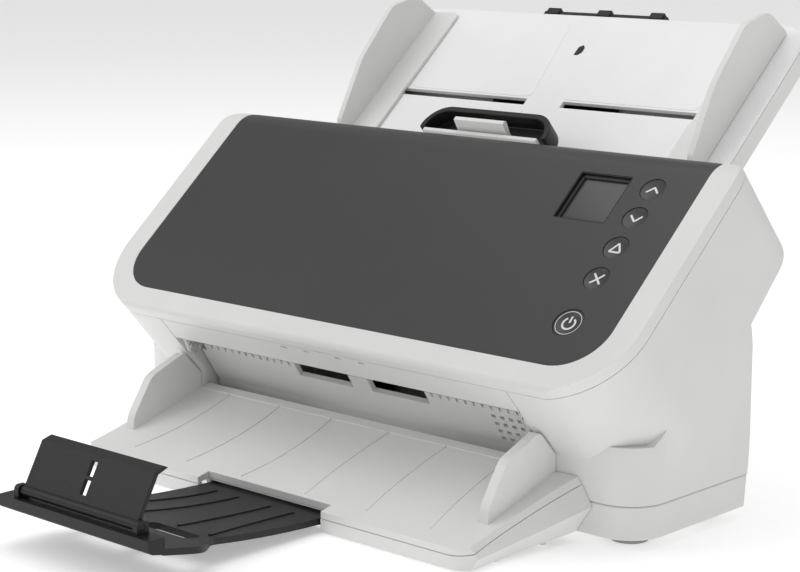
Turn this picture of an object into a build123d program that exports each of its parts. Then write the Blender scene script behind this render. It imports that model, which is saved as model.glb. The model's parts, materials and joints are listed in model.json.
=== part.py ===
"""Sheet-fed document scanner as an assembly: millimetres, +X right, +Y to the rear, +Z up.

The origin is on the resting plane, under the middle of the whole machine's outline. The pod that
holds the scan path leans back at SLOPE. Its pieces are drawn in two leaning planes: SIDE, whose
axes are s (up the slope from the control panel's lower edge) and h (out of the panel's face), and
FACE, whose axes are x and s. Shapes that stand upright are drawn in plain Y and Z.
"""

import os
from math import acos, atan2, cos, hypot, pi, radians, sin, sqrt, tan

from build123d import *

os.makedirs("parts", exist_ok=True)

# overall form
SLOPE = 41.1
HALF_WIDTH = 156.0
BASE_HALF_WIDTH = 153.5
PANEL_EDGE_Z = 78.1
POD_LOW = -12.0
POD_TOP = 122.0
POD_DEPTH = 54.0
POD_SPREAD = 10.0
TOP_ROLL = 16.0
LOW_ROLL = 4.0
POD_CORNER = 38.0
TOP_CORNER = 18.0
WALL = 2.5
GAP = 0.3

# upright base, measured from the panel's lower edge
BASE_FRONT = 21.0
BASE_CORNER = 18.0
BASE_REAR_CORNER = 4.0
BASE_BACK = 103.4
BASE_FLOOR_Z = 4.5
PAN_TOP_Z = 18.6
FOOT_R = 8.0

# cover
SEAM = 6.0
COVER_SKIN = 3.2
PANEL_HALF_WIDTH = 143.3
PANEL_THICK = 1.6
PANEL_END = 118.5
PANEL_CORNER = 22.0
PANEL_GAP = 0.15
CHEEK = 106.4
COVER_HALF = 105.9
ARM_IN = 103.4
PATH = -32.5
PATH_GAP = 1.5
LIP = -19.7
PIVOT_S, PIVOT_H = -7.5, -30.0
PIVOT_R = 2.5
PIVOT_RUN = 0.05
COVER_BACK_LOW = -22.0

# controls: button centres along the slope, and the display's window
BUTTON_X = 120.5
BUTTON_S = {"up": 95.6, "down": 79.5, "start": 62.9, "stop": 46.0}
POWER_S = 22.0
BUTTON_R = 5.7
POWER_R = 6.9
BUTTON_RUN = 0.25
BUTTON_TRAVEL = 0.7
SCREEN_X = (79.9, 107.6)
SCREEN_S = (74.3, 100.9)
SCREEN_SINK = 2.4

# rollers, scan heads and drive
EXIT_S, FEED_ROW_S, PICK_S = 12.0, 44.0, 93.0
EXIT_R, FEED_ROW_R, PICK_R = 7.0, 8.0, 9.0
IDLER_R = 5.0
PROUD = 0.3
NIP = 0.3
SHAFT_R = 3.0
BUSH_R = 5.0
SHAFT_RUN = 0.05
FRAME_X = 107.3
FRAME_THICK = 2.0
TYRE_X = (7.5, 39.5)
PULLEY_X = 112.0
PULLEY_R = 7.0
MOTOR_PULLEY_R = 5.0
PULLEY_WIDTH = 9.0
BELT_THICK = 1.2
BELT_GAP = 0.1
MOTOR_SPOT = (30.0, -74.0)
MOTOR_R = 14.0
MOTOR_LENGTH = 36.0
MOTOR_SHAFT_R = 1.5
REAR_HEAD_S = (54.0, 80.0)
FRONT_HEAD_S = (18.0, 38.0)

# input tray
TRAY_ROOT_S = 108.0
TRAY_START_S = 122.6
TRAY_TOP_S = 226.5
TRAY_HALF = 119.5
TRAY_DEPTH = 11.0
GUIDE_SLOT_S = 166.8
GUIDE_SLOT_X = (11.1, 101.5)
GUIDE_X = 106.0
GUIDE_WALL = 3.0
GUIDE_TRAVEL = 80.0
FLANGE_X = 90.0
RACK_MODULE = 1.0
PINION_TEETH = 16
BACKLASH = 0.14
RACK_THICK = 2.0
PINION_BORE_R = 2.05
INPUT_EXT_HALF = 37.8

# output tray, measured from the panel's lower edge in Y
TRAY_FRONT = -43.0
NOTCH_DEPTH = 6.5
NOTCH_HALF = 38.2
OUT_HALF = 117.0
OUT_FLARE = 127.0
OUT_SKIN = 2.4
FENCE_X = (107.0, 112.0)
EXT_ARC_R = 560.0
EXT_ARC_Y = -25.0
EXT_LOW_Z = 3.4
EXT_THICK = 2.8
EXT_HALF = 37.2
EXT_INNER = -4.0
EXT_FLARE = (-103.0, -115.0)
BAR_HALF = 47.0
BAR_FRONT = -143.5
BAR_BACK = -135.0
STOP_HALF = 35.5
STOP_Y, STOP_Z = -138.6, 24.6
STOP_LENGTH = 26.0
STOP_LEAN = 61.3
STOP_PIN_R = 1.2

# the machine is centred over the origin in Y
C, S = cos(radians(SLOPE)), sin(radians(SLOPE))
BACK_REACH = TRAY_TOP_S * C - (PATH - TRAY_DEPTH) * S
PANEL_Y = -(BACK_REACH + BAR_FRONT) / 2
SIDE = Plane(origin=(0, PANEL_Y, PANEL_EDGE_Z), x_dir=(0, C, S), z_dir=(1, 0, 0))
FACE = Plane(origin=(0, PANEL_Y, PANEL_EDGE_Z), x_dir=(1, 0, 0), z_dir=(0, -S, C))
UPRIGHT = Plane(origin=(0, PANEL_Y, 0), x_dir=(0, 1, 0), z_dir=(1, 0, 0))
FLAT = Plane(origin=(0, PANEL_Y, 0))
SIDES = {"left": -1, "right": 1}


def at(s, h):
    """Y (from the panel's edge) and Z of a point given on the leaning side plane."""
    return s * C - h * S, PANEL_EDGE_Z + s * S + h * C


def profile(plane, points, x_from, x_to, mode=Mode.ADD, radii=None):
    """Extrude a closed outline on a side plane from one X position to another."""
    low, high = min(x_from, x_to), max(x_from, x_to)
    with BuildSketch(plane.offset(low)) as outline:
        with BuildLine():
            if radii:
                FilletPolyline(*points, radius=radii, close=True)
            else:
                Polyline(*points, close=True)
        make_face()
    extrude(outline.sketch, amount=high - low, mode=mode)


def bar(plane, first, second, x_from, x_to, mode=Mode.ADD):
    """A plain rectangular profile between two opposite corners."""
    (a, b), (c, d) = first, second
    profile(plane, [(a, b), (c, b), (c, d), (a, d)], x_from, x_to, mode)


def round_bar(plane, centre, radius, x_from, x_to, mode=Mode.ADD):
    """A round bar along X, centred on a point of a side plane."""
    low, high = min(x_from, x_to), max(x_from, x_to)
    with BuildSketch(plane.offset(low)) as outline:
        with Locations(centre):
            Circle(radius)
    extrude(outline.sketch, amount=high - low, mode=mode)


def face_outline(half, low, high, low_corner, high_corner):
    """A panel outline on the leaning face, with its own lower and upper corner radii."""
    corners = [(-half, low), (half, low), (half, high), (-half, high)]
    with BuildLine() as edge:
        FilletPolyline(*corners, radius=[low_corner, low_corner, high_corner, high_corner], close=True)
    make_face(edge.edges())


def pod_form(inset):
    """The leaning pod as a solid form, drawn in by a wall thickness."""
    low, high, deep = POD_LOW + inset, POD_TOP - inset, POD_DEPTH - inset
    roll = max(TOP_ROLL - inset, 1)
    half = HALF_WIDTH - inset
    with BuildPart() as form:
        points = [(low, -inset), (high, -inset), (high, -deep), (low, -deep - POD_SPREAD)]
        profile(SIDE, points, -half, half, radii=[max(LOW_ROLL - inset, 0.5), roll, 8, 1])
        with BuildSketch(FACE.offset(-POD_DEPTH - POD_SPREAD - 2)):
            face_outline(half, low - 1, high + 1, POD_CORNER - inset, TOP_CORNER - inset)
        extrude(amount=POD_DEPTH + POD_SPREAD + 4, mode=Mode.INTERSECT)
    return form.part


def base_outline(half, front, back, inset):
    """The base's outline from above, rounder at its front corners than at its rear ones."""
    corners = [(-half, front), (half, front), (half, back), (-half, back)]
    radii = [BASE_CORNER - inset] * 2 + [max(BASE_REAR_CORNER - inset, 0.5)] * 2
    with BuildLine() as edge:
        FilletPolyline(*corners, radius=radii, close=True)
    make_face(edge.edges())


def base_form(inset, low_z, high_h):
    """The upright base as a solid form, up to a plane parallel to the panel."""
    front, back = BASE_FRONT + inset, BASE_BACK - inset
    half = BASE_HALF_WIDTH - inset
    low_y, low_top = at(2, high_h)
    high_y, high_top = at(76, high_h)
    with BuildPart() as form:
        points = [
            (front, low_z), (front, low_top), (low_y, low_top), (high_y, high_top),
            (back - 5, 86), (back, 66), (back, 54), (back - 4, PAN_TOP_Z), (back - 5.5, low_z - 0.1),
        ]
        profile(UPRIGHT, points, -half, half)
        with BuildSketch(FLAT.offset(low_z - 1)):
            base_outline(half, front, back, inset)
        extrude(amount=140, mode=Mode.INTERSECT)
    return form.part


def seam_cut(drop):
    """Takes away all that lies under the cover's seam, which follows the panel and dips at the rear."""
    edge = [(POD_LOW - 5, -SEAM - drop), (POD_TOP - 9, -SEAM - drop), (POD_TOP + 5, -SEAM - 10 - drop),
            (POD_TOP + 5, -FAR), (POD_LOW - 5, -FAR)]
    profile(SIDE, edge, -FAR, FAR, Mode.SUBTRACT, radii=[1, 14, 1, 1, 1])


def seam_keep(drop):
    """Takes away all that lies above the cover's seam."""
    edge = [(POD_LOW - 5, -SEAM - drop), (POD_TOP - 9, -SEAM - drop), (POD_TOP + 5, -SEAM - 10 - drop),
            (POD_TOP + 5, 20), (POD_LOW - 5, 20)]
    profile(SIDE, edge, -FAR, FAR, Mode.SUBTRACT, radii=[1, 14, 1, 1, 1])


FAR = 400.0
POD = pod_form(0)
POD_UNDER_PANEL = pod_form(PANEL_THICK)
POD_SKIN = pod_form(COVER_SKIN)
POD_INSIDE = pod_form(WALL)
BASE = base_form(0, PAN_TOP_Z + GAP, -POD_DEPTH + 6)
BASE_INSIDE = base_form(WALL, PAN_TOP_Z - 1, -POD_DEPTH + 6 - WALL)

# ---------------------------------------------------------------- cover

with BuildPart() as panel_blank:
    add(POD)
    with BuildSketch(FACE.offset(-20)):
        face_outline(PANEL_HALF_WIDTH, 0, PANEL_END, PANEL_CORNER, 5)
    extrude(amount=40, mode=Mode.INTERSECT)
    add(POD_UNDER_PANEL, mode=Mode.SUBTRACT)

with BuildPart() as panel_pocket:
    add(POD)
    with BuildSketch(FACE.offset(-20)):
        face_outline(PANEL_HALF_WIDTH + PANEL_GAP, -PANEL_GAP, PANEL_END + PANEL_GAP,
                     PANEL_CORNER, 5)
    extrude(amount=40, mode=Mode.INTERSECT)
    add(pod_form(PANEL_THICK + PANEL_GAP), mode=Mode.SUBTRACT)

SCREEN_MID = (sum(SCREEN_X) / 2, sum(SCREEN_S) / 2)
SCREEN_SIZE = (SCREEN_X[1] - SCREEN_X[0], SCREEN_S[1] - SCREEN_S[0])
BUTTON_SPOTS = [(BUTTON_X, s) for s in BUTTON_S.values()]

with BuildPart() as control_panel:
    add(panel_blank.part)
    with BuildSketch(FACE.offset(-5)):
        with Locations(SCREEN_MID):
            RectangleRounded(SCREEN_SIZE[0], SCREEN_SIZE[1], 0.8)
        with Locations(*BUTTON_SPOTS):
            Circle(BUTTON_R + BUTTON_RUN)
        with Locations((BUTTON_X, POWER_S)):
            Circle(POWER_R + BUTTON_RUN)
    extrude(amount=10, mode=Mode.SUBTRACT)
control_panel.part.label = "control_panel"
export_step(control_panel.part, "parts/control_panel.step")

with BuildPart() as bezel:
    add(POD)
    add(panel_pocket.part, mode=Mode.SUBTRACT)
    seam_cut(0)
    add(POD_SKIN, mode=Mode.SUBTRACT)
    with BuildSketch(FACE.offset(-COVER_SKIN - 0.2)):
        with Locations(SCREEN_MID):
            Rectangle(SCREEN_SIZE[0] + 1.4, SCREEN_SIZE[1] + 1.4)
        with Locations(*BUTTON_SPOTS):
            Circle(BUTTON_R + 2 * BUTTON_RUN)
        with Locations((BUTTON_X, POWER_S)):
            Circle(POWER_R + 2 * BUTTON_RUN)
    extrude(amount=COVER_SKIN, mode=Mode.SUBTRACT)
bezel.part.label = "bezel"
export_step(bezel.part, "parts/bezel.step")

with BuildPart() as lower_strip:
    outer = [(POD_LOW, -SEAM - GAP), (POD_LOW, LIP), (1.5, PATH + PATH_GAP + 1.2),
             (3.5, PATH + PATH_GAP + 1.2), (3.5, -28), (2.6, -28), (POD_LOW + WALL, LIP + 1.6),
             (POD_LOW + WALL, -SEAM - GAP)]
    profile(SIDE, outer, -ARM_IN + GAP, ARM_IN - GAP)
    for sign in (-1, 1):
        strip_end = [(POD_LOW, -SEAM - GAP), (POD_LOW, LIP), (POD_LOW + WALL, LIP),
                     (POD_LOW + WALL, -SEAM - GAP)]
        profile(SIDE, strip_end, sign * (ARM_IN - GAP - 0.1), sign * COVER_HALF)
    for x in (-23.9, -9.6, 9.6, 23.9):
        bar(SIDE, (POD_LOW - 1, -SEAM - 1.6), (POD_LOW + 0.8, -SEAM - 2.8), x - 1.9, x + 1.9,
            Mode.SUBTRACT)
lower_strip.part.label = "lower_strip"
export_step(lower_strip.part, "parts/lower_strip.step")

GUIDE_LOW = PATH + PATH_GAP
FRAME_BACK = POD_TOP - WALL - GAP
MOUTH_S, MOUTH_RISE = 86.0, 8.5
SCOOP_HALF, SCOOP_TOP_S, SCOOP_LOW_H, SCOOP_RIM_H = 38.5, 139.9, -20.0, -10.0
LATCH_S, LATCH_H, LATCH_R = 105.0, -17.0, 2.0
PADDLE_HALF, PADDLE_TOP_H = 15.0, -5.0
HOOK_X = (96.0, 99.0)

with BuildPart() as cover_frame:
    hull = [(POD_LOW + WALL + GAP, -SEAM - GAP), (POD_LOW + WALL + GAP, -14), (4.0, -27),
            (4.0, GUIDE_LOW), (MOUTH_S, GUIDE_LOW), (FRAME_BACK, GUIDE_LOW + MOUTH_RISE),
            (FRAME_BACK, -TOP_ROLL - 1.5), (POD_TOP - 12, -SEAM - GAP)]
    profile(SIDE, hull, -COVER_HALF, COVER_HALF)
    room = [(5.5, -FAR), (5.5, GUIDE_LOW + 2), (MOUTH_S, GUIDE_LOW + 2),
            (FRAME_BACK - 2, GUIDE_LOW + MOUTH_RISE + 2.2), (FRAME_BACK - 2, 5), (6, 5),
            (POD_LOW + WALL + 1.5, 5), (POD_LOW + WALL + 1.5, -14.5), (5.5, -26.5)]
    profile(SIDE, room[1:], -ARM_IN, ARM_IN, Mode.SUBTRACT)
    for sign in (-1, 1):
        ear = [(POD_LOW + WALL + GAP, -SEAM - GAP), (POD_LOW + WALL + GAP, LIP - 1),
               (PIVOT_S - 3.6, PIVOT_H + 1), (PIVOT_S + 3.6, PIVOT_H - 1), (6, -26), (6, -10)]
        profile(SIDE, ear, sign * ARM_IN, sign * COVER_HALF)
        round_bar(SIDE, (PIVOT_S, PIVOT_H), 3.9, sign * ARM_IN, sign * COVER_HALF)
        round_bar(SIDE, (PIVOT_S, PIVOT_H), PIVOT_R, 0, sign * FAR, Mode.SUBTRACT)
    for s, reach in ((EXIT_S, EXIT_R), (FEED_ROW_S, FEED_ROW_R)):
        for sign in (-1, 1):
            bar(SIDE, (s - 6.5, GUIDE_LOW - 1), (s + 6.5, GUIDE_LOW + 3), sign * (TYRE_X[0] - 2),
                sign * (TYRE_X[1] + 2), Mode.SUBTRACT)
    bar(SIDE, (PICK_S - 9, GUIDE_LOW - 1), (PICK_S + 9, GUIDE_LOW + 10), -15, 15, Mode.SUBTRACT)
    bar(SIDE, (FRONT_HEAD_S[0] + 2, GUIDE_LOW - 1), (FRONT_HEAD_S[1] - 2, GUIDE_LOW + 3),
        -ARM_IN + 3, ARM_IN - 3, Mode.SUBTRACT)
    for sign in (-1, 1):
        bar(SIDE, (LATCH_S - 9, GUIDE_LOW - 1), (LATCH_S + 5, LATCH_H - 4), sign * (HOOK_X[0] - 1),
            sign * (HOOK_X[1] + 1), Mode.SUBTRACT)
    bar(SIDE, (LATCH_S - 5, SCOOP_LOW_H - 8), (FAR, SCOOP_LOW_H + 3), -10, 10, Mode.SUBTRACT)
    for sign in (-1, 1):
        bar(SIDE, (SCREEN_S[0] - 5, -9), (SCREEN_S[1] + 5, 0), sign * (SCREEN_X[0] - 4), sign * FAR,
            Mode.SUBTRACT)
cover_frame.part.label = "cover_frame"
export_step(cover_frame.part, "parts/cover_frame.step")

with BuildPart() as hinge_pins:
    for sign in (-1, 1):
        round_bar(SIDE, (PIVOT_S, PIVOT_H), PIVOT_R, sign * ARM_IN, sign * (FRAME_X + FRAME_THICK + 1))
        round_bar(SIDE, (PIVOT_S, PIVOT_H), PIVOT_R + 1.2, sign * (ARM_IN - 1.2), sign * ARM_IN)
hinge_pins.part.label = "hinge_pins"
export_step(hinge_pins.part, "parts/hinge_pins.step")

with BuildPart() as cover_back:
    wall = [(POD_TOP - WALL, -TOP_ROLL), (POD_TOP, -TOP_ROLL), (POD_TOP, COVER_BACK_LOW),
            (POD_TOP - WALL, COVER_BACK_LOW)]
    profile(SIDE, wall, -COVER_HALF, COVER_HALF)
    ledge = [(POD_TOP, -TOP_ROLL - 2.3), (POD_TOP + 3, -TOP_ROLL - 1), (POD_TOP + 3, -9.5),
             (POD_TOP + 1, -9.5), (POD_TOP + GAP, -15.5), (POD_TOP, -TOP_ROLL)]
    profile(SIDE, ledge, -SCOOP_HALF + 4, SCOOP_HALF - 4)
    bar(SIDE, (POD_TOP - WALL - 1, -FAR), (POD_TOP + 4, SCOOP_LOW_H + 2.6), -9.5, 9.5, Mode.SUBTRACT)
cover_back.part.label = "cover_back"
export_step(cover_back.part, "parts/cover_back.step")

with BuildPart() as handle_scoop:
    with BuildSketch(FACE.offset(SCOOP_LOW_H)):
        face_outline(SCOOP_HALF, POD_TOP + 3 + GAP, SCOOP_TOP_S, 1, 13)
    extrude(amount=SCOOP_RIM_H - SCOOP_LOW_H)
    with BuildSketch(FACE.offset(SCOOP_LOW_H + 2.5)):
        face_outline(SCOOP_HALF - 3, POD_TOP - 3, SCOOP_TOP_S - 3, 1, 10)
    extrude(amount=20, mode=Mode.SUBTRACT)
    tongue = [(POD_TOP, SCOOP_LOW_H), (POD_TOP + 4, SCOOP_LOW_H), (POD_TOP + 4, SCOOP_LOW_H + 1.4),
              (POD_TOP, SCOOP_LOW_H + 1.4)]
    profile(SIDE, tongue, -SCOOP_HALF + 6, SCOOP_HALF - 6)
    bar(SIDE, (POD_TOP + 2, SCOOP_LOW_H - 1), (131, SCOOP_LOW_H + 4), -17, 17, Mode.SUBTRACT)
    bar(SIDE, (POD_TOP - 2, SCOOP_LOW_H - 1), (131, SCOOP_LOW_H + 4), -10, 10, Mode.SUBTRACT)
handle_scoop.part.label = "handle_scoop"
export_step(handle_scoop.part, "parts/handle_scoop.step")

# the release paddle, its shaft inside the cover and the two hooks that hold the cover down
with BuildPart() as release_paddle:
    foot_h, head_s = SCOOP_LOW_H - 2.2, 130.2
    blade = [(head_s - 4.2, foot_h), (head_s - 2, foot_h), (head_s - 1.6, -12), (head_s, PADDLE_TOP_H - 1),
             (head_s - 0.8, PADDLE_TOP_H), (head_s - 2.8, PADDLE_TOP_H), (head_s - 4.2, -12)]
    profile(SIDE, blade, -PADDLE_HALF, PADDLE_HALF)
    stem = [(LATCH_S, SCOOP_LOW_H - 0.4), (head_s - 3, SCOOP_LOW_H - 0.4), (head_s - 3, foot_h),
            (LATCH_S, foot_h)]
    profile(SIDE, stem, -8, 8)
    bar(SIDE, (LATCH_S - 1.5, SCOOP_LOW_H - 2.2), (LATCH_S + 1.5, LATCH_H), -8, 8)
    round_bar(SIDE, (LATCH_S, LATCH_H), LATCH_R + 2, -8, 8)
    round_bar(SIDE, (LATCH_S, LATCH_H), LATCH_R, -9, 9, Mode.SUBTRACT)
release_paddle.part.label = "release_paddle"
export_step(release_paddle.part, "parts/release_paddle.step")

with BuildPart() as latch_hooks:
    hook = [(LATCH_S - 3, LATCH_H + 3), (LATCH_S + 2.5, LATCH_H + 3), (LATCH_S + 2.5, LATCH_H - 20),
            (LATCH_S - 3, LATCH_H - 19), (LATCH_S - 3, LATCH_H - 17.5), (LATCH_S, LATCH_H - 17),
            (LATCH_S, LATCH_H - 5)]
    for sign in (-1, 1):
        profile(SIDE, hook, sign * HOOK_X[0], sign * HOOK_X[1])
        round_bar(SIDE, (LATCH_S, LATCH_H), LATCH_R, 0, sign * FAR, Mode.SUBTRACT)
latch_hooks.part.label = "latch_hooks"
export_step(latch_hooks.part, "parts/latch_hooks.step")

with BuildPart() as latch_shaft:
    round_bar(SIDE, (LATCH_S, LATCH_H), LATCH_R, -ARM_IN + GAP, ARM_IN - GAP)
latch_shaft.part.label = "latch_shaft"
export_step(latch_shaft.part, "parts/latch_shaft.step")

# buttons, each in its own hole in the panel
for label, spot_s in {**BUTTON_S, "power": POWER_S}.items():
    radius = POWER_R if label == "power" else BUTTON_R
    with BuildPart() as button:
        with BuildSketch(FACE.offset(-COVER_SKIN - 0.2)):
            with Locations((BUTTON_X, spot_s)):
                Circle(radius)
        extrude(amount=COVER_SKIN - 0.1)
        with Locations(FACE.from_local_coords(Vector(BUTTON_X, spot_s, 34.4))):
            Sphere(35.2, mode=Mode.SUBTRACT)
    button.part.label = f"{label}_button"
    export_step(button.part, f"parts/{label}_button.step")

BOARD_X, BOARD_S, BOARD_TOP_H = (110.5, 133.0), (13.0, 104.0), -4.6
with BuildPart() as panel_board:
    with BuildSketch(FACE.offset(BOARD_TOP_H - 1.4)):
        with Locations((sum(BOARD_X) / 2, sum(BOARD_S) / 2)):
            Rectangle(BOARD_X[1] - BOARD_X[0], BOARD_S[1] - BOARD_S[0])
    extrude(amount=1.4)
    with BuildSketch(FACE.offset(BOARD_TOP_H)):
        with Locations(*[(x, s) for x in (BOARD_X[0] + 2.5, BOARD_X[1] - 2.5)
                         for s in (BOARD_S[0] + 2.5, BOARD_S[1] - 2.5)]):
            Circle(1.5)
    extrude(amount=-COVER_SKIN - GAP - BOARD_TOP_H)
panel_board.part.label = "panel_board"
export_step(panel_board.part, "parts/panel_board.step")

with BuildPart() as display_window:
    with BuildSketch(FACE.offset(-SCREEN_SINK - 1.2)):
        with Locations(SCREEN_MID):
            Rectangle(SCREEN_SIZE[0] + 1.0, SCREEN_SIZE[1] + 1.0)
    extrude(amount=1.2 - GAP / 2)
display_window.part.label = "display_window"
export_step(display_window.part, "parts/display_window.step")

with BuildPart() as display_module:
    with BuildSketch(FACE.offset(-SCREEN_SINK - 4.8)):
        with Locations(SCREEN_MID):
            Rectangle(SCREEN_SIZE[0] + 3, SCREEN_SIZE[1] + 5)
    extrude(amount=3.4)
display_module.part.label = "display_module"
export_step(display_module.part, "parts/display_module.step")

# ---------------------------------------------------------------- housings

for side, sign in SIDES.items():
    with BuildPart() as housing:
        add(POD)
        seam_keep(GAP)
        add(BASE)
        add(POD_INSIDE, mode=Mode.SUBTRACT)
        add(BASE_INSIDE, mode=Mode.SUBTRACT)
        bar(UPRIGHT, (-FAR, -FAR), (FAR, FAR), sign * CHEEK, -sign * FAR, Mode.SUBTRACT)
        round_bar(SIDE, (PIVOT_S, PIVOT_H), PIVOT_R + GAP, 0, sign * (FRAME_X + FRAME_THICK + 1 + GAP),
                  Mode.SUBTRACT)
    housing.part.label = f"{side}_housing"
    export_step(housing.part, f"parts/{side}_housing.step")

FRAME_EDGE = WALL + GAP
with BuildPart() as frame_blank:
    add(pod_form(FRAME_EDGE))
    seam_keep(GAP + 1)
    add(base_form(FRAME_EDGE, PAN_TOP_Z + GAP + 0.5, -POD_DEPTH + 6))

ROLLERS = {"exit": (EXIT_S, EXIT_R, TYRE_X), "transport": (FEED_ROW_S, FEED_ROW_R, TYRE_X),
           "feed": (PICK_S, PICK_R, (2.0, 13.5))}
with BuildPart() as side_frames:
    add(frame_blank.part)
    bar(UPRIGHT, (-FAR, -FAR), (FAR, FAR), -FRAME_X, FRAME_X, Mode.SUBTRACT)
    for sign in (-1, 1):
        bar(UPRIGHT, (-FAR, -FAR), (FAR, FAR), sign * (FRAME_X + FRAME_THICK), sign * FAR,
            Mode.SUBTRACT)
        round_bar(SIDE, (PIVOT_S, PIVOT_H), PIVOT_R + PIVOT_RUN, 0, sign * FAR, Mode.SUBTRACT)
        for s, radius, span in ROLLERS.values():
            round_bar(SIDE, (s, PATH + PROUD - radius), BUSH_R, 0, sign * FAR, Mode.SUBTRACT)
        bar(SIDE, (TRAY_ROOT_S - 1, PATH - TRAY_DEPTH - 1), (POD_TOP, PATH + 1), 0, sign * FAR,
            Mode.SUBTRACT)
    round_bar(SIDE, MOTOR_SPOT, 5, 0, FAR, Mode.SUBTRACT)
side_frames.part.label = "side_frames"
export_step(side_frames.part, "parts/side_frames.step")

REAR_OPEN_H = PATH - TRAY_DEPTH - GAP
with BuildPart() as rear_cover:
    add(POD)
    add(BASE)
    add(POD_INSIDE, mode=Mode.SUBTRACT)
    add(BASE_INSIDE, mode=Mode.SUBTRACT)
    bar(UPRIGHT, (-FAR, -FAR), (FAR, FAR), CHEEK - GAP, FAR, Mode.SUBTRACT)
    bar(UPRIGHT, (-FAR, -FAR), (FAR, FAR), -CHEEK + GAP, -FAR, Mode.SUBTRACT)
    bar(SIDE, (-FAR, REAR_OPEN_H), (FAR, FAR), -FAR, FAR, Mode.SUBTRACT)
    bar(UPRIGHT, (-FAR, -FAR), (70, FAR), -FAR, FAR, Mode.SUBTRACT)
    for x in (-62, 28):
        bar(UPRIGHT, (BASE_BACK - 10, 24), (FAR, 36), x, x + 13, Mode.SUBTRACT)
    for row in range(6):
        for x in range(-20, 12, 6):
            bar(UPRIGHT, (BASE_BACK - 12, 54 + 5 * row), (FAR, 56 + 5 * row), x - 2, x + 2,
                Mode.SUBTRACT)
rear_cover.part.label = "rear_cover"
export_step(rear_cover.part, "parts/rear_cover.step")

CHANNEL_HALF = EXT_HALF + 2.5
with BuildPart() as base_pan:
    pan = [(BASE_FRONT, BASE_FLOOR_Z), (BASE_FRONT, PAN_TOP_Z), (BASE_BACK - 4, PAN_TOP_Z),
           (BASE_BACK - 5.5, BASE_FLOOR_Z)]
    profile(UPRIGHT, pan, -BASE_HALF_WIDTH, BASE_HALF_WIDTH)
    with BuildSketch(FLAT):
        base_outline(BASE_HALF_WIDTH, BASE_FRONT, BASE_BACK, 0)
    extrude(amount=40, mode=Mode.INTERSECT)
    with BuildSketch(FLAT.offset(BASE_FLOOR_Z + WALL)):
        base_outline(BASE_HALF_WIDTH - WALL, BASE_FRONT + WALL, BASE_BACK - WALL - 5, WALL)
    extrude(amount=40, mode=Mode.SUBTRACT)
    with BuildSketch(FLAT):
        with Locations((0, 36)):
            Rectangle(2 * CHANNEL_HALF, 34)
    extrude(amount=PAN_TOP_Z - 3, mode=Mode.SUBTRACT)
base_pan.part.label = "base_pan"
export_step(base_pan.part, "parts/base_pan.step")

FOOT_SPOTS = [(-136, 40), (136, 40), (-136, 84), (136, 84)]
with BuildPart() as rubber_feet:
    with BuildSketch(FLAT):
        with Locations(*FOOT_SPOTS):
            Circle(FOOT_R)
    extrude(amount=BASE_FLOOR_Z)
rubber_feet.part.label = "rubber_feet"
export_step(rubber_feet.part, "parts/rubber_feet.step")

# ---------------------------------------------------------------- paper path in the base

WINDOW_X = (6.0, 40.4)
VENT_X, VENT_ROWS, VENT_STEP = 76.0, 4, 4.8
EXIT_PANEL_HALF = 105.9
with BuildPart() as exit_panel:
    low_y, low_z = at(-7.6, -56.0)
    top = [at(-4.4, PATH - 0.6), at(-2.0, PATH - 0.6), at(-5.2, -56.3), (low_y + 4.4, PAN_TOP_Z + GAP),
           (low_y + 2.2, PAN_TOP_Z + GAP), (low_y, low_z)]
    profile(UPRIGHT, top, -EXIT_PANEL_HALF, EXIT_PANEL_HALF)
    for sign in (-1, 1):
        bar(SIDE, (-15, -37), (15, -20), sign * (ARM_IN - 1), sign * FAR, Mode.SUBTRACT)
        bar(SIDE, (-12, PATH - 8.0), (3, -20), sign * WINDOW_X[0], sign * WINDOW_X[1],
            Mode.SUBTRACT)
    for sign in (-1, 1):
        for step in range(12):
            x = WINDOW_X[1] + 4 + VENT_STEP * step
            bar(SIDE, (-12, PATH - 2.6), (3, -20), sign * (x - 0.7), sign * (x + 0.7),
                Mode.SUBTRACT)
    for row in range(VENT_ROWS):
        for column in range(5):
            x = VENT_X + VENT_STEP * column
            h = PATH - 5.6 - 4.4 * row
            bar(SIDE, (-12, h), (3, h - 2.0), x, x + 2.4, Mode.SUBTRACT)
exit_panel.part.label = "exit_panel"
export_step(exit_panel.part, "parts/exit_panel.step")

DECK_THICK = 2.0
DECK_S = (-0.5, TRAY_ROOT_S - GAP)
with BuildPart() as feed_deck:
    bar(SIDE, (DECK_S[0], PATH - DECK_THICK), (DECK_S[1], PATH), -COVER_HALF, COVER_HALF)
    for s in (26.0, 84.0):
        bar(SIDE, (s, PATH - 6), (s + 2, PATH), -COVER_HALF, COVER_HALF)
    for sign in (-1, 1):
        bar(SIDE, (DECK_S[0], PATH - 9), (DECK_S[1], PATH), sign * (COVER_HALF - 2),
            sign * COVER_HALF)
        for s, radius, span in list(ROLLERS.values())[:2]:
            bar(SIDE, (s - radius, PATH - 3), (s + radius, PATH + 1), sign * (span[0] - 1.5),
                sign * (span[1] + 1.5), Mode.SUBTRACT)
    bar(SIDE, (PICK_S - PICK_R, PATH - 9), (PICK_S + PICK_R, PATH + 1), -16, 16, Mode.SUBTRACT)
    bar(SIDE, (REAR_HEAD_S[0] + 2, PATH - 3), (REAR_HEAD_S[1] - 2, PATH + 1), -ARM_IN + 3, ARM_IN - 3,
        Mode.SUBTRACT)
    for s, radius, span in ROLLERS.values():
        round_bar(SIDE, (s, PATH + PROUD - radius), SHAFT_R + 1, -FAR, FAR, Mode.SUBTRACT)
    for sign in (-1, 1):
        bar(SIDE, (LATCH_S - 5, PATH - 10), (FAR, PATH + 1), sign * (HOOK_X[0] - 1),
            sign * (HOOK_X[1] + 1), Mode.SUBTRACT)
feed_deck.part.label = "feed_deck"
export_step(feed_deck.part, "parts/feed_deck.step")

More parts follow.
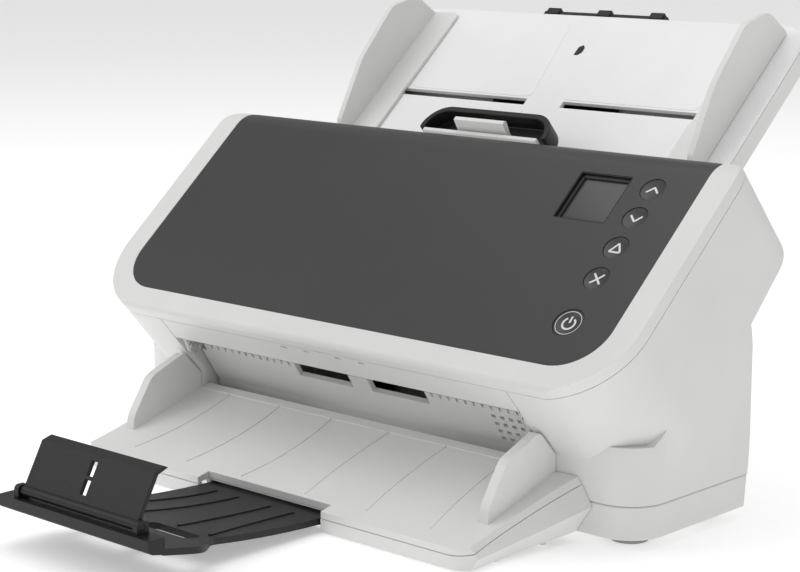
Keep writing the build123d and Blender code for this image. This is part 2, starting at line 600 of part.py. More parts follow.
GLASS_THICK = 1.6
HEAD_HALF = 100.0
with BuildPart() as rear_scan_head:
    bar(SIDE, (REAR_HEAD_S[0], PATH - 18), (REAR_HEAD_S[1], PATH - DECK_THICK - GAP), -HEAD_HALF,
        HEAD_HALF)
    bar(SIDE, (REAR_HEAD_S[0] + 2.5, PATH - 15.5), (REAR_HEAD_S[1] - 2.5, 0), -HEAD_HALF + 3,
        HEAD_HALF - 3, Mode.SUBTRACT)
rear_scan_head.part.label = "rear_scan_head"
export_step(rear_scan_head.part, "parts/rear_scan_head.step")

with BuildPart() as rear_scan_glass:
    bar(SIDE, (REAR_HEAD_S[0] + 2.6, PATH - 0.2 - GLASS_THICK), (REAR_HEAD_S[1] - 2.6, PATH - 0.2),
        -ARM_IN + 4, ARM_IN - 4)
rear_scan_glass.part.label = "rear_scan_glass"
export_step(rear_scan_glass.part, "parts/rear_scan_glass.step")

with BuildPart() as front_scan_head:
    bar(SIDE, (FRONT_HEAD_S[0], GUIDE_LOW + 2 + GAP), (FRONT_HEAD_S[1], GUIDE_LOW + 17), -HEAD_HALF,
        HEAD_HALF)
    bar(SIDE, (FRONT_HEAD_S[0] + 2.5, -60), (FRONT_HEAD_S[1] - 2.5, GUIDE_LOW + 14.5),
        -HEAD_HALF + 3, HEAD_HALF - 3, Mode.SUBTRACT)
front_scan_head.part.label = "front_scan_head"
export_step(front_scan_head.part, "parts/front_scan_head.step")

with BuildPart() as front_scan_glass:
    bar(SIDE, (FRONT_HEAD_S[0] + 2.6, GUIDE_LOW + 0.2), (FRONT_HEAD_S[1] - 2.6,
        GUIDE_LOW + 0.2 + GLASS_THICK), -ARM_IN + 4, ARM_IN - 4)
front_scan_glass.part.label = "front_scan_glass"
export_step(front_scan_glass.part, "parts/front_scan_glass.step")

SHAFT_END = FRAME_X + FRAME_THICK + 2
for label, (s, radius, span) in ROLLERS.items():
    centre = (s, PATH + PROUD - radius)
    with BuildPart() as roller_shaft:
        round_bar(SIDE, centre, SHAFT_R, -SHAFT_END, PULLEY_X + PULLEY_WIDTH)
    roller_shaft.part.label = f"{label}_roller_shaft"
    export_step(roller_shaft.part, f"parts/{label}_roller_shaft.step")
    with BuildPart() as roller_tyres:
        for sign in (-1, 1):
            round_bar(SIDE, centre, radius, sign * span[0], sign * span[1])
        round_bar(SIDE, centre, SHAFT_R, -FAR, FAR, Mode.SUBTRACT)
    roller_tyres.part.label = f"{label}_roller_tyres"
    export_step(roller_tyres.part, f"parts/{label}_roller_tyres.step")
    with BuildPart() as pulley:
        round_bar(SIDE, centre, PULLEY_R, PULLEY_X, PULLEY_X + PULLEY_WIDTH)
        for rim_x in (PULLEY_X - 1, PULLEY_X + PULLEY_WIDTH):
            round_bar(SIDE, centre, PULLEY_R + 1.8, rim_x, rim_x + 1)
        round_bar(SIDE, centre, SHAFT_R, -FAR, FAR, Mode.SUBTRACT)
    pulley.part.label = f"{label}_pulley"
    export_step(pulley.part, f"parts/{label}_pulley.step")

with BuildPart() as roller_bushes:
    for s, radius, span in ROLLERS.values():
        for sign in (-1, 1):
            centre = (s, PATH + PROUD - radius)
            round_bar(SIDE, centre, BUSH_R, sign * FRAME_X, sign * (FRAME_X + FRAME_THICK))
            round_bar(SIDE, centre, SHAFT_R + SHAFT_RUN, sign * (FRAME_X - 1),
                      sign * (FRAME_X + FRAME_THICK + 1), Mode.SUBTRACT)
roller_bushes.part.label = "roller_bushes"
export_step(roller_bushes.part, "parts/roller_bushes.step")

# the drive: the motor turns the transport shaft, which turns the other two, through a belt each
LANE = PULLEY_WIDTH / 3
CENTRES = {label: (s, PATH + PROUD - radius) for label, (s, radius, span) in ROLLERS.items()}
BELTS = {"exit": (CENTRES["exit"], PULLEY_R, 0), "feed": (CENTRES["feed"], PULLEY_R, 1),
         "motor": (MOTOR_SPOT, MOTOR_PULLEY_R, 2)}


def belt_loop(first, first_r, second, second_r, x_from, x_to):
    """A flat belt round two pulleys, standing a hair off their rims."""
    span, rise = second[0] - first[0], second[1] - first[1]
    reach, turn = hypot(span, rise), atan2(rise, span)
    for grow, mode in ((BELT_GAP + BELT_THICK, Mode.ADD), (BELT_GAP, Mode.SUBTRACT)):
        near, far = first_r + grow, second_r + grow
        lean = acos((near - far) / reach)
        ends = []
        for centre, radius in ((first, near), (second, far)):
            for way in (1, -1):
                angle = turn + way * lean
                ends.append((centre[0] + radius * cos(angle), centre[1] + radius * sin(angle)))
        round_bar(SIDE, first, near, x_from, x_to, mode)
        round_bar(SIDE, second, far, x_from, x_to, mode)
        profile(SIDE, [ends[0], ends[2], ends[3], ends[1]], x_from, x_to, mode)


with BuildPart() as drive_belts:
    for centre, rim, lane in BELTS.values():
        lane_x = PULLEY_X + LANE * lane
        with BuildPart(mode=Mode.PRIVATE) as belt:
            belt_loop(CENTRES["transport"], PULLEY_R, centre, rim, lane_x + GAP, lane_x + LANE - GAP)
        add(belt.part)
drive_belts.part.label = "drive_belts"
export_step(drive_belts.part, "parts/drive_belts.step")

with BuildPart() as drive_motor:
    round_bar(SIDE, MOTOR_SPOT, MOTOR_R, FRAME_X - MOTOR_LENGTH, FRAME_X)
    for way in (-1, 1):
        round_bar(SIDE, (MOTOR_SPOT[0] + way * (MOTOR_R + 3), MOTOR_SPOT[1]), 4, FRAME_X - 1.5, FRAME_X)
    bar(SIDE, (MOTOR_SPOT[0] - MOTOR_R - 3, MOTOR_SPOT[1] - 4), (MOTOR_SPOT[0] + MOTOR_R + 3,
        MOTOR_SPOT[1] + 4), FRAME_X - 1.5, FRAME_X)
    round_bar(SIDE, MOTOR_SPOT, MOTOR_SHAFT_R + SHAFT_RUN, FRAME_X - 12, FAR, Mode.SUBTRACT)
drive_motor.part.label = "drive_motor"
export_step(drive_motor.part, "parts/drive_motor.step")

with BuildPart() as motor_rotor:
    round_bar(SIDE, MOTOR_SPOT, MOTOR_SHAFT_R, FRAME_X - 11.5, PULLEY_X + PULLEY_WIDTH)
    round_bar(SIDE, MOTOR_SPOT, MOTOR_PULLEY_R, PULLEY_X, PULLEY_X + PULLEY_WIDTH)
    round_bar(SIDE, MOTOR_SPOT, MOTOR_PULLEY_R + 1.5, PULLEY_X + PULLEY_WIDTH, PULLEY_X + PULLEY_WIDTH + 1)
motor_rotor.part.label = "motor_rotor"
export_step(motor_rotor.part, "parts/motor_rotor.step")

# idle rollers carried by the cover, each a hair above the roller that it runs with
IDLERS = {"exit_idler": (EXIT_S, IDLER_R, TYRE_X), "transport_idler": (FEED_ROW_S, IDLER_R, TYRE_X),
          "separation_roller": (PICK_S, 8.0, (1.0, 12.5))}
IDLER_SHAFT_R = 2.0
for label, (s, radius, span) in IDLERS.items():
    centre = (s, PATH + PROUD + NIP + radius)
    with BuildPart() as idler:
        round_bar(SIDE, centre, IDLER_SHAFT_R, -ARM_IN + GAP, ARM_IN - GAP)
        for sign in (-1, 1):
            round_bar(SIDE, centre, radius, sign * span[0], sign * span[1])
    idler.part.label = label
    export_step(idler.part, f"parts/{label}.step")

# ---------------------------------------------------------------- electronics at the rear

BOARD_Y = BASE_BACK - WALL - 14
with BuildPart() as main_board:
    bar(UPRIGHT, (BOARD_Y - 30, 14.0), (BOARD_Y + 8, 15.6), -88, 60)
    for x in (-70, -20, 44):
        for y in (BOARD_Y - 25, BOARD_Y):
            bar(UPRIGHT, (y - 3, BASE_FLOOR_Z + WALL), (y + 3, 14.0), x - 3, x + 3)
main_board.part.label = "main_board"
export_step(main_board.part, "parts/main_board.step")

PORTS = {"power_inlet": (-62.0, 13.0, 11.0), "usb_port": (28.0, 12.0, 11.0)}
for label, (x, width, tall) in PORTS.items():
    with BuildPart() as port:
        bar(UPRIGHT, (BOARD_Y - 6, 15.6), (BOARD_Y + 8, 25), x + GAP, x + width - GAP)
        bar(UPRIGHT, (BASE_BACK - 11, 24 + GAP), (BASE_BACK - 3.6, 24 + tall), x + GAP, x + width - GAP)
        if label == "power_inlet":
            hole = Plane(origin=(x + width / 2, PANEL_Y + BASE_BACK + 2, 30), z_dir=(0, -1, 0))
            with BuildSketch(hole):
                Circle(4.2)
                Circle(1.2, mode=Mode.SUBTRACT)
            extrude(amount=10, mode=Mode.SUBTRACT)
        else:
            bar(UPRIGHT, (BASE_BACK - 9, 26), (BASE_BACK + 1, 33.5), x + 2, x + width - 2,
                Mode.SUBTRACT)
    port.part.label = label
    export_step(port.part, f"parts/{label}.step")

# ---------------------------------------------------------------- input tray

TRAY_SKIN = 2.2
SLOT_HALF = 2.0
with BuildPart() as input_tray:
    with BuildSketch(FACE.offset(PATH - TRAY_SKIN)):
        face_outline(TRAY_HALF, TRAY_START_S, TRAY_TOP_S, 4, 13)
    extrude(amount=TRAY_SKIN)
    bar(SIDE, (TRAY_ROOT_S, PATH - TRAY_SKIN), (TRAY_START_S + 6, PATH), -ARM_IN + 1, ARM_IN - 1)
    for sign in (-1, 1):
        bar(SIDE, (GUIDE_SLOT_S - SLOT_HALF, PATH - 9), (GUIDE_SLOT_S + SLOT_HALF, PATH + 1),
            sign * GUIDE_SLOT_X[0], sign * GUIDE_SLOT_X[1], Mode.SUBTRACT)
    with BuildSketch(FACE.offset(PATH - TRAY_SKIN - GAP - RACK_THICK - 0.6)):
        with Locations((0, GUIDE_SLOT_S)):
            Circle(PINION_BORE_R - SHAFT_RUN)
    extrude(amount=RACK_THICK + 2)
    for sign in (-1, 1):
        bar(SIDE, (TRAY_ROOT_S - 1, PATH - 8), (TRAY_ROOT_S + 5, PATH + 1), sign * (HOOK_X[0] - 1),
            sign * (HOOK_X[1] + 1), Mode.SUBTRACT)
input_tray.part.label = "input_tray"
export_step(input_tray.part, "parts/input_tray.step")

EXT_SLOT_TOP, EXT_SLOT_LOW = PATH - 5.6, PATH - 8.3
with BuildPart() as input_tray_back:
    with BuildSketch(FACE.offset(PATH - TRAY_DEPTH)):
        face_outline(TRAY_HALF, TRAY_START_S, TRAY_TOP_S, 4, 13)
    extrude(amount=TRAY_DEPTH - TRAY_SKIN - GAP)
    with BuildSketch(FACE.offset(PATH - TRAY_DEPTH + WALL)):
        face_outline(TRAY_HALF - WALL, TRAY_START_S + WALL, TRAY_TOP_S - WALL, 2, 11)
    extrude(amount=TRAY_DEPTH, mode=Mode.SUBTRACT)
    bar(SIDE, (TRAY_ROOT_S, PATH - TRAY_DEPTH), (TRAY_START_S + 6, PATH - TRAY_SKIN - GAP), -ARM_IN + 1,
        ARM_IN - 1)
    bar(SIDE, (TRAY_ROOT_S + WALL, PATH - TRAY_DEPTH + WALL), (TRAY_START_S + 7, PATH), -ARM_IN + 3,
        ARM_IN - 3, Mode.SUBTRACT)
    bar(SIDE, (TRAY_TOP_S - 6, EXT_SLOT_LOW), (TRAY_TOP_S + 1, EXT_SLOT_TOP), -INPUT_EXT_HALF - GAP,
        INPUT_EXT_HALF + GAP, Mode.SUBTRACT)
    for sign in (-1, 1):
        bar(SIDE, (TRAY_ROOT_S - 1, PATH - 8), (TRAY_ROOT_S + 5, PATH + 1), sign * (HOOK_X[0] - 1),
            sign * (HOOK_X[1] + 1), Mode.SUBTRACT)
input_tray_back.part.label = "input_tray_back"
export_step(input_tray_back.part, "parts/input_tray_back.step")

# paper guides, geared together under the tray
RACK_TOP = PATH - TRAY_SKIN - GAP
PINION_R = RACK_MODULE * PINION_TEETH / 2
WALL_PROFILE = [(127, PATH + 0.4), (131, PATH + 4), (135, PATH + 10), (163, PATH + 21), (168, PATH + 22.5),
                (200, PATH + 26.5), (217, PATH + 18), (222, PATH + 0.4)]
for side, sign in SIDES.items():
    with BuildPart() as guide:
        profile(SIDE, WALL_PROFILE, sign * GUIDE_X, sign * (GUIDE_X + GUIDE_WALL),
                radii=[1, 3, 4, 8, 8, 9, 8, 1])
        with BuildSketch(FACE.offset(PATH + GAP)):
            with Locations((sign * (FLANGE_X + GUIDE_X + GUIDE_WALL) / 2, (124 + 222) / 2)):
                RectangleRounded(GUIDE_X + GUIDE_WALL - FLANGE_X, 222 - 124, 2.5)
        extrude(amount=1.5)
        bar(SIDE, (GUIDE_SLOT_S - SLOT_HALF + GAP, RACK_TOP - RACK_THICK),
            (GUIDE_SLOT_S + SLOT_HALF - GAP, PATH + 1), sign * 93.0, sign * 99.5)
        rack_s = GUIDE_SLOT_S + sign * (PINION_R + 1.25 * RACK_MODULE + 2)
        bar(SIDE, (rack_s - 2, RACK_TOP - RACK_THICK), (rack_s + 2, RACK_TOP), sign * 99.5, -sign * 6.0)
        bar(SIDE, (GUIDE_SLOT_S - sign * (SLOT_HALF - GAP), RACK_TOP - RACK_THICK), (rack_s, RACK_TOP),
            sign * 93.0, sign * 99.5)
        for tooth in range(-1, 31):
            x = sign * RACK_MODULE * pi * (tooth + 0.5)
            root = GUIDE_SLOT_S + sign * (PINION_R + 1.25 * RACK_MODULE)
            tip = GUIDE_SLOT_S + sign * (PINION_R - RACK_MODULE + 0.15)
            with BuildSketch(FACE.offset(RACK_TOP - RACK_THICK)):
                with BuildLine():
                    Polyline((x - 1.2, root + sign * 0.3), (x - 0.36, tip), (x + 0.36, tip),
                             (x + 1.2, root + sign * 0.3), close=True)
                make_face()
            extrude(amount=RACK_THICK)
    guide.part.label = f"{side}_guide"
    export_step(guide.part, f"parts/{side}_guide.step")

with BuildPart() as guide_pinion:
    with BuildSketch(FACE.offset(RACK_TOP - RACK_THICK)):
        with Locations((0, GUIDE_SLOT_S)):
            Circle(PINION_R - 1.25 * RACK_MODULE)
    extrude(amount=RACK_THICK)
    tooth_half = [(-1.5, 1.05), (-0.2, 0.72 - BACKLASH / 2), (0.75, 0.3)]
    for tooth in range(PINION_TEETH):
        turn = 2 * pi * tooth / PINION_TEETH
        flank = [(PINION_R + out, -half) for out, half in tooth_half]
        flank += [(PINION_R + out, half) for out, half in reversed(tooth_half)]
        corners = [(a * cos(turn) - b * sin(turn), GUIDE_SLOT_S + a * sin(turn) + b * cos(turn))
                   for a, b in flank]
        with BuildSketch(FACE.offset(RACK_TOP - RACK_THICK)):
            with BuildLine():
                Polyline(*corners, close=True)
            make_face()
        extrude(amount=RACK_THICK)
    with BuildSketch(FACE.offset(RACK_TOP - RACK_THICK - 1)):
        with Locations((0, GUIDE_SLOT_S)):
            Circle(PINION_BORE_R)
    extrude(amount=RACK_THICK + 2, mode=Mode.SUBTRACT)
guide_pinion.part.label = "guide_pinion"
export_step(guide_pinion.part, "parts/guide_pinion.step")

with BuildPart() as input_extender:
    bar(SIDE, (134, EXT_SLOT_LOW + GAP), (TRAY_TOP_S + 1.5, EXT_SLOT_TOP - GAP), -INPUT_EXT_HALF,
        INPUT_EXT_HALF)
    with BuildSketch(FACE.offset(EXT_SLOT_LOW + GAP)):
        with Locations((0, TRAY_TOP_S - 30)):
            RectangleRounded(34, 40, 4)
    extrude(amount=EXT_SLOT_TOP - EXT_SLOT_LOW, mode=Mode.SUBTRACT)
    bar(SIDE, (TRAY_TOP_S + GAP, EXT_SLOT_LOW + GAP), (TRAY_TOP_S + 2.8, PATH - 0.6), -INPUT_EXT_HALF,
        INPUT_EXT_HALF)
    for x in (-INPUT_EXT_HALF + 6, 0, INPUT_EXT_HALF - 6):
        bar(SIDE, (TRAY_TOP_S + GAP, PATH - 4), (TRAY_TOP_S + 4.2, PATH + 0.4), x - 4, x + 4)
input_extender.part.label = "input_extender"
export_step(input_extender.part, "parts/input_extender.step")

# ---------------------------------------------------------------- output tray

TRAY_BACK = BASE_FRONT - GAP
SURFACE = [(24.8, 29.7), (-9.0, 18.4), (TRAY_FRONT, 9.6)]
SEAM_DROP = 3.0


def tray_sweep(drop, mode, front=TRAY_FRONT - 5, half=200.0, low=None):
    """Everything under the tray's curved surface, let down by a drop, as a solid along X."""
    (back_y, back_z), (mid_y, mid_z), (front_y, front_z) = SURFACE
    slope = (mid_z - front_z) / (mid_y - front_y)
    base = -5.0 if low is None else low
    with BuildSketch(UPRIGHT.offset(-half)) as under:
        with BuildLine():
            Spline((back_y, back_z - drop), (mid_y, mid_z - drop),
                   (front, front_z - drop + slope * (front - front_y) * 0.8))
            Polyline((front, front_z - drop + slope * (front - front_y) * 0.8), (front, base),
                     (back_y, base), (back_y, back_z - drop))
        make_face()
    extrude(under.sketch, amount=2 * half, mode=mode)


def tray_form(inset, back_y):
    """The tray's tub, whose sides swell out where it meets the base."""
    sections = {
        TRAY_FRONT + inset: [(118.0, 0.8), (120.0, 5.0), (119.5, 7.0), (117.0, 12.0)],
        -6.0: [(118.5, 2.2), (122.0, 9.0), (121.5, 11.0), (117.5, 22.0)],
        back_y: [(123.0, 4.6), (131.0, 16.6), (130.0, 18.6), (121.0, 32.0)],
    }
    with BuildPart() as form:
        for y, half in sections.items():
            half = [(x - inset, z + (-6 if inset and z < 5 else 0)) for x, z in half]
            plane = Plane(origin=(0, PANEL_Y + y, 0), x_dir=(1, 0, 0), z_dir=(0, -1, 0))
            with BuildSketch(plane):
                with BuildLine():
                    Polyline(*half, *[(-x, z) for x, z in reversed(half)], close=True)
                make_face()
        loft()
    return form.part


TUB = tray_form(0, TRAY_BACK)


def tray_plan(inset):
    """The tray's outline from above, with rounded front corners, as a tall solid."""
    front, side = TRAY_FRONT + inset, 119.6 - inset
    with BuildPart() as plan:
        with BuildSketch(FLAT.offset(-8)):
            with BuildLine():
                FilletPolyline((-side, front), (side, front), (side + 13.4, 24), (side + 13.4, 60),
                               (-side - 13.4, 60), (-side - 13.4, 24),
                               radius=[14 - inset, 14 - inset, 1, 1, 1, 1], close=True)
            make_face()
        extrude(amount=80)
    return plan.part


with BuildPart() as output_tray:
    tray_sweep(0, Mode.ADD)
    tray_sweep(SEAM_DROP, Mode.SUBTRACT, front=TRAY_FRONT - 6, half=220.0)
    add(tray_plan(0), mode=Mode.INTERSECT)
    add(TUB, mode=Mode.INTERSECT)
    for sign in (-1, 1):
        fence = [(20.7, 24), (20.7, 35.3), (10.2, 46.6), (-10, 38.5), (-21.5, 21), (-22.6, 12)]
        profile(UPRIGHT, fence, sign * FENCE_X[0], sign * FENCE_X[1], radii=[0.5, 1, 3, 10, 12, 0.5])
    with BuildSketch(FLAT):
        with Locations((0, TRAY_FRONT)):
            Rectangle(2 * NOTCH_HALF, 2 * NOTCH_DEPTH)
    extrude(amount=60, mode=Mode.SUBTRACT)
    lip = [(TRAY_BACK - 1, 28.3), (24.8, 29.7), (24.8, PAN_TOP_Z + GAP), (22.6, PAN_TOP_Z + GAP),
           (22.6, 25.5), (TRAY_BACK - 1, 25.1)]
    profile(UPRIGHT, lip, -COVER_HALF, COVER_HALF)
output_tray.part.label = "output_tray"
export_step(output_tray.part, "parts/output_tray.step")

RAIL_X = (EXT_HALF + GAP, EXT_HALF + GAP + 2.2)
with BuildPart() as tub_inside:
    add(tray_form(OUT_SKIN, TRAY_BACK + 4))
    add(tray_plan(OUT_SKIN), mode=Mode.INTERSECT)

with BuildPart() as output_tray_base:
    add(TUB)
    add(tub_inside.part, mode=Mode.SUBTRACT)
    for sign in (-1, 1):
        bar(UPRIGHT, (TRAY_FRONT + NOTCH_DEPTH, 0.8), (TRAY_BACK, 8.5), sign * RAIL_X[0], sign * RAIL_X[1])
        for y in (-24.0, 6.0):
            bar(UPRIGHT, (y, 0.8), (y + 2, 6.5), sign * RAIL_X[0], sign * 117.5)
    bar(UPRIGHT, (TRAY_FRONT + NOTCH_DEPTH, 0.8), (TRAY_BACK, 2.8), -RAIL_X[1], RAIL_X[1])
    bar(UPRIGHT, (TRAY_FRONT + NOTCH_DEPTH, 7.4), (TRAY_FRONT + NOTCH_DEPTH + 2.2, 8.6), -RAIL_X[1],
        RAIL_X[1])
    with BuildPart(mode=Mode.PRIVATE) as under_tray:
        tray_sweep(SEAM_DROP + GAP, Mode.ADD, half=220.0)
    add(under_tray.part, mode=Mode.INTERSECT)
    add(tray_plan(0), mode=Mode.INTERSECT)
    with BuildSketch(FLAT):
        with Locations((0, TRAY_FRONT)):
            Rectangle(2 * NOTCH_HALF, 2 * NOTCH_DEPTH)
    extrude(amount=60, mode=Mode.SUBTRACT)
output_tray_base.part.label = "output_tray_base"
export_step(output_tray_base.part, "parts/output_tray_base.step")

# the sliding extender: a curved plate that turns about a far-off centre, and its end bar
ARC_CENTRE_Z = EXT_LOW_Z + EXT_ARC_R


def arc_z(y, radius):
    """Height of a circle about the extender's centre, at a Y position."""
    return ARC_CENTRE_Z - sqrt(radius ** 2 - (y - EXT_ARC_Y) ** 2)


EXT_MID = (EXT_INNER + BAR_BACK) / 2
EXT_TOP_R = EXT_ARC_R - EXT_THICK
with BuildPart() as output_extender:
    with BuildSketch(UPRIGHT.offset(-BAR_HALF - 1)):
        with BuildLine():
            ThreePointArc(*[(y, arc_z(y, EXT_ARC_R)) for y in (EXT_INNER, EXT_MID, BAR_BACK - 1)])
            ThreePointArc(*[(y, arc_z(y, EXT_TOP_R)) for y in (EXT_INNER, EXT_MID, BAR_BACK - 1)])
            for y in (EXT_INNER, BAR_BACK - 1):
                Line((y, arc_z(y, EXT_ARC_R)), (y, arc_z(y, EXT_TOP_R)))
        make_face()
    extrude(amount=2 * BAR_HALF + 2)
    with BuildSketch(FLAT.offset(-1)):
        with BuildLine():
            FilletPolyline((-EXT_HALF, EXT_INNER + 9), (-EXT_HALF, EXT_FLARE[0]), (-BAR_HALF, EXT_FLARE[1]),
                           (-BAR_HALF, -160), (BAR_HALF, -160), (BAR_HALF, EXT_FLARE[1]),
                           (EXT_HALF, EXT_FLARE[0]), (EXT_HALF, EXT_INNER + 9),
                           radius=[1, 8, 12, 0.5, 0.5, 12, 8, 1], close=True)
        make_face()
    extrude(amount=60, mode=Mode.INTERSECT)
    with BuildSketch(FLAT.offset(-1)):
        for sign in (-1, 1):
            with Locations((sign * 19.0, -108.5)):
                RectangleRounded(30, 9.5, 3.5)
    extrude(amount=60, mode=Mode.SUBTRACT)
    bar_profile = [(BAR_BACK, 14.6), (BAR_BACK, 21.8), (BAR_FRONT, 21.8), (BAR_FRONT, 17.3),
                   (BAR_FRONT + 2, 16.0)]
    profile(UPRIGHT, bar_profile, -BAR_HALF, BAR_HALF)
    for sign in (-1, 1):
        ear = [(STOP_Y - 3, 21), (STOP_Y - 3, STOP_Z + 2.4), (STOP_Y + 3, STOP_Z + 2.4), (STOP_Y + 3, 21)]
        profile(UPRIGHT, ear, sign * (STOP_HALF + GAP), sign * (STOP_HALF + 3), radii=[0.2, 2, 2, 0.2])
        round_bar(UPRIGHT, (STOP_Y, STOP_Z), STOP_PIN_R + SHAFT_RUN, 0, sign * FAR, Mode.SUBTRACT)
output_extender.part.label = "output_extender"
export_step(output_extender.part, "parts/output_extender.step")

LEAN_Y, LEAN_Z = cos(radians(STOP_LEAN)), sin(radians(STOP_LEAN))


def on_stop(along, out):
    """A point of the end stop: along its face from the hinge, and out from it to the front."""
    return STOP_Y + along * LEAN_Y - out * LEAN_Z, STOP_Z + along * LEAN_Z + out * LEAN_Y


with BuildPart() as end_stop:
    leaf = [on_stop(0, -0.9), on_stop(0, 0.9), on_stop(21.5, 0.9), on_stop(STOP_LENGTH - 1, -2.6),
            on_stop(STOP_LENGTH - 1, -4.4), on_stop(21, -0.9)]
    profile(UPRIGHT, leaf, -STOP_HALF, STOP_HALF)
    round_bar(UPRIGHT, (STOP_Y, STOP_Z), 2.2, -STOP_HALF, STOP_HALF)
    round_bar(UPRIGHT, (STOP_Y, STOP_Z), STOP_PIN_R, -STOP_HALF - 2.9, STOP_HALF + 2.9)
    for low, high in ((5, 11.2), (12.8, 19)):
        slot = [on_stop(low, -2), on_stop(low, 2), on_stop(high, 2), on_stop(high, -2)]
        profile(UPRIGHT, slot, -1.8, 1.8, Mode.SUBTRACT)
end_stop.part.label = "end_stop"
export_step(end_stop.part, "parts/end_stop.step")
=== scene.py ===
"""The looks of a sheet-fed document scanner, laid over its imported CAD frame, in metres."""
import json

import bmesh
import bpy
import numpy as np
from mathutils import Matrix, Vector


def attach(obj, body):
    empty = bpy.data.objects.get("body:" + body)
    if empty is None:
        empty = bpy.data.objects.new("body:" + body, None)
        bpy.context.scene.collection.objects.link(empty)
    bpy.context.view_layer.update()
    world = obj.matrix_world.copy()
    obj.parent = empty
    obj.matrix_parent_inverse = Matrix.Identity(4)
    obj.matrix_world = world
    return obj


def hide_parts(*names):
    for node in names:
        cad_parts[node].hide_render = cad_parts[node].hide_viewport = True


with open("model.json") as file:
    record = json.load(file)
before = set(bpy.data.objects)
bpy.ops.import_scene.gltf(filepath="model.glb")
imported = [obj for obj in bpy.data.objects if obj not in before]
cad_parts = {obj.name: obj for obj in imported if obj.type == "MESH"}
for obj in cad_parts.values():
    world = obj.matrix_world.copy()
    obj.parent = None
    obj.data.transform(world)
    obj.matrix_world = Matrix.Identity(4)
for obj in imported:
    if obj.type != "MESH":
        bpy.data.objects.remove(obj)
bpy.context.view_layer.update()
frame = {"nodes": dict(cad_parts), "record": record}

MM = 0.001
LEAN = np.radians(41.1)
CL, SL = np.cos(LEAN), np.sin(LEAN)
EDGE_Y, EDGE_Z = -27.889, 78.1      # the control panel's lower edge
PATH_H = -32.5                      # the straight paper path, below the panel's face
KEYS = {"up": 95.6, "down": 79.5, "start": 62.9, "stop": 46.0, "power": 22.0}
KEY_X = 120.5
DISH_R, DISH_H = 35.2, 34.4         # the sphere that hollows a key, and its centre's height
WINDOW_X, WINDOW_S = (79.9, 107.6), (74.3, 100.9)
TRAY_LINE = [(24.8, 29.7), (-9.0, 18.4), (-43.0, 9.6)]


# ------------------------------------------------------------------ places

def leaning(x, s, h):
    """Points from x, s up the slope and h out of the panel: y = s cos - h sin, z = s sin + h cos."""
    x, s, h = np.broadcast_arrays(np.asarray(x, float), np.asarray(s, float), np.asarray(h, float))
    return np.stack([x, EDGE_Y + s * CL - h * SL, EDGE_Z + s * SL + h * CL], -1) * MM


def upright(x, y, z):
    """Points from x, y behind the panel's edge and z above the table, in millimetres."""
    x, y, z = np.broadcast_arrays(np.asarray(x, float), np.asarray(y, float), np.asarray(z, float))
    return np.stack([x, EDGE_Y + y, z], -1) * MM


def tray_height(y):
    """The output tray's surface: a parabola through its back edge, its middle and its front lip."""
    return np.polyval(np.polyfit(*zip(*TRAY_LINE), 2), y)


# ------------------------------------------------------------------ mesh makers

def shown(name, vertices, faces, body, finish, smooth=True):
    """A mesh object with one finish, riding on a CAD body."""
    mesh = bpy.data.meshes.new(name)
    mesh.from_pydata(np.asarray(vertices).reshape(-1, 3).tolist(), [], [list(f) for f in faces])
    mesh.validate()
    mesh.polygons.foreach_set("use_smooth", np.full(len(mesh.polygons), smooth))
    piece = bpy.data.objects.new(name, mesh)
    bpy.context.scene.collection.objects.link(piece)
    mesh.materials.append(finish)
    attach(piece, body)
    return piece


def grid_faces(rows, columns, round_rows=False, round_columns=False):
    """The quads of a rows by columns grid of points, wrapped round where asked."""
    i = np.arange(rows if round_rows else rows - 1)
    j = np.arange(columns if round_columns else columns - 1)
    i, j = np.meshgrid(i, j, indexing="ij")
    a, b = i * columns + j, i * columns + (j + 1) % columns
    c, d = ((i + 1) % rows) * columns + (j + 1) % columns, ((i + 1) % rows) * columns + j
    return np.stack([a, b, c, d], -1).reshape(-1, 4)


def outward(piece):
    """Turns a closed piece's faces outwards."""
    shape = bmesh.new()
    shape.from_mesh(piece.data)
    bmesh.ops.remove_doubles(shape, verts=shape.verts, dist=1e-7)
    bmesh.ops.recalc_face_normals(shape, faces=shape.faces)
    shape.to_mesh(piece.data)
    shape.free()
    return piece


def carried(name, rings, body, finish, loop=False, smooth=True):
    """A closed tube from rings of points, one ring for each station along a path."""
    rings = np.asarray(rings)
    stations, around = rings.shape[:2]
    faces = grid_faces(stations, around, round_rows=loop, round_columns=True).tolist()
    if not loop:
        faces.append(list(range(around))[::-1])
        faces.append(list(range((stations - 1) * around, stations * around)))
    return outward(shown(name, rings, faces, body, finish, smooth))


def band(path, normal, width, height):
    """Rings of a flat strip: at each point, half the width to either side and the height along normal."""
    path = np.asarray(path, float)
    along = np.gradient(path, axis=0)
    along /= np.linalg.norm(along, axis=1, keepdims=True)
    side = np.cross(along, normal)
    side /= np.linalg.norm(side, axis=1, keepdims=True)
    up = np.asarray(normal, float)
    corners = [(-0.5, -0.4), (-0.5, 0.7), (-0.36, 1.0), (0.36, 1.0), (0.5, 0.7), (0.5, -0.4)]
    return np.stack([path + side * width * a + up * height * b for a, b in corners], 1)


BODY_OF = {node: body for body, nodes in frame["record"]["behaviour"]["bodies"].items() for node in nodes}
MERGE = 2e-6                        # metres between points that are one
FLAT_ANGLE = np.radians(0.6)        # triangles that lie this flat are one face
EDGE_ANGLE = np.radians(32)         # edges sharper than this are rounded


